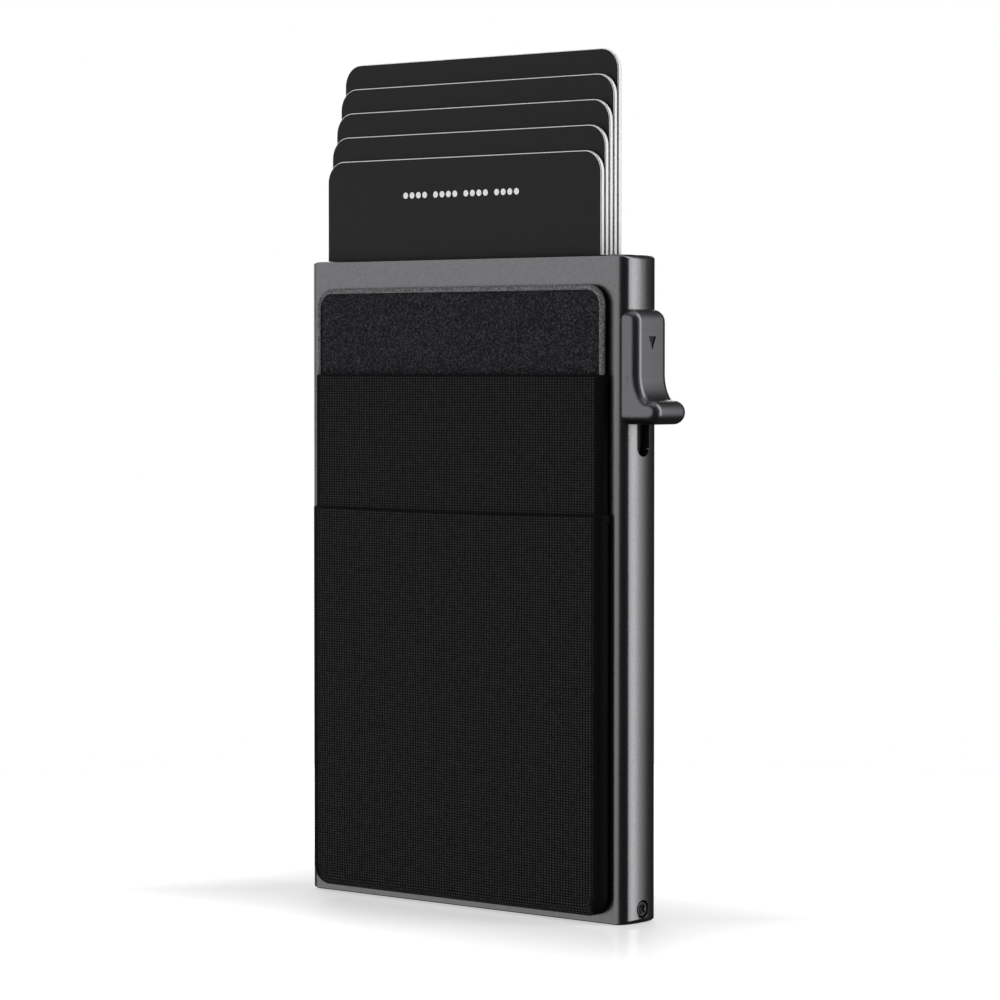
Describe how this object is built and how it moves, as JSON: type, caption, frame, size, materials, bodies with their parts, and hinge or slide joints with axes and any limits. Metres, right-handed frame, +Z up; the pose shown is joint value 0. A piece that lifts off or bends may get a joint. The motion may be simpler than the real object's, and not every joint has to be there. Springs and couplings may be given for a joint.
{
  "type": "minimalist wallet",
  "caption": "Slim pop-up card wallet: flat metal case with a side thumb lever that fans out the cards, and a stick-on elastic pocket on the front.",
  "frame": {"origin": "middle of the case's bottom face, halfway through its width and depth", "axes": "+X towards the thumb lever, +Y towards the plain back face, +Z up towards the card mouth"},
  "size_m": [0.068, 0.0104, 0.126],
  "materials": {
    "case_aluminium": "gunmetal anodised, fine bead-blasted satin",
    "lever_aluminium": "gunmetal anodised, finely brushed",
    "dark_steel": "black oxide",
    "spring_steel": "plain stainless",
    "inner_plastic": "moulded black acetal",
    "felt": "black friction felt",
    "tape": "double-sided foam tape",
    "rim_leatherette": "pressed charcoal knit binding",
    "lining_suede": "soft black microsuede",
    "elastic": "black woven elastic with a fine grid",
    "card_plastic": "black-faced plastic card with a white core"
  },
  "bodies": {
    "case": {"case_shell": "case_aluminium", "bottom_cap": "inner_plastic", "screw_right": "dark_steel", "screw_left": "dark_steel", "left_rail": "inner_plastic", "right_rail": "inner_plastic", "friction_strip_front": "felt", "friction_strip_back": "felt", "spring_seat": "spring_steel", "return_spring": "spring_steel", "ejector_bracket": "spring_steel", "pivot_pin": "spring_steel", "adhesive_pad": "tape", "panel_board": "rim_leatherette", "panel_rim": "rim_leatherette", "lining_sheet": "lining_suede", "pocket_upper": "elastic", "pocket_lower": "elastic"},
    "slider": {"thumb_lever": "lever_aluminium", "slide_carriage": "inner_plastic", "lever_screw_lower": "dark_steel", "lever_screw_upper": "dark_steel", "drive_rod": "spring_steel", "rod_fork": "inner_plastic"},
    "ejector_arm": {"ejector": "inner_plastic", "drive_pin": "spring_steel"},
    "card_1": {"card_1": "card_plastic"},
    "card_2": {"card_2": "card_plastic"},
    "card_3": {"card_3": "card_plastic"},
    "card_4": {"card_4": "card_plastic"},
    "card_5": {"card_5": "card_plastic"}
  },
  "joints": [
    {"name": "lever_slide", "type": "slide", "parent": "case", "child": "slider", "axis": [0, 0, -1], "range_m": [0, 0.0048], "stiffness_N_per_m": 300, "springref_m": -0.006, "deforming": ["return_spring"]},
    {"name": "ejector_turn", "type": "hinge", "parent": "case", "child": "ejector_arm", "pos_m": [0.02176, 0, 0.0075], "axis": [0, 1, 0], "range_deg": [0, 42]},
    {"name": "card_1_slide", "type": "slide", "parent": "case", "child": "card_1", "axis": [0, 0, 1], "range_m": [-0.0158, 0.075]},
    {"name": "card_2_slide", "type": "slide", "parent": "case", "child": "card_2", "axis": [0, 0, 1], "range_m": [-0.0195, 0.071]},
    {"name": "card_3_slide", "type": "slide", "parent": "case", "child": "card_3", "axis": [0, 0, 1], "range_m": [-0.0232, 0.067]},
    {"name": "card_4_slide", "type": "slide", "parent": "case", "child": "card_4", "axis": [0, 0, 1], "range_m": [-0.0269, 0.063]},
    {"name": "card_5_slide", "type": "slide", "parent": "case", "child": "card_5", "axis": [0, 0, 1], "range_m": [-0.0306, 0.059]}
  ],
  "couplings": [
    {"joint": "ejector_turn", "follows": "lever_slide", "rad_per_m": 152.71}
  ]
}
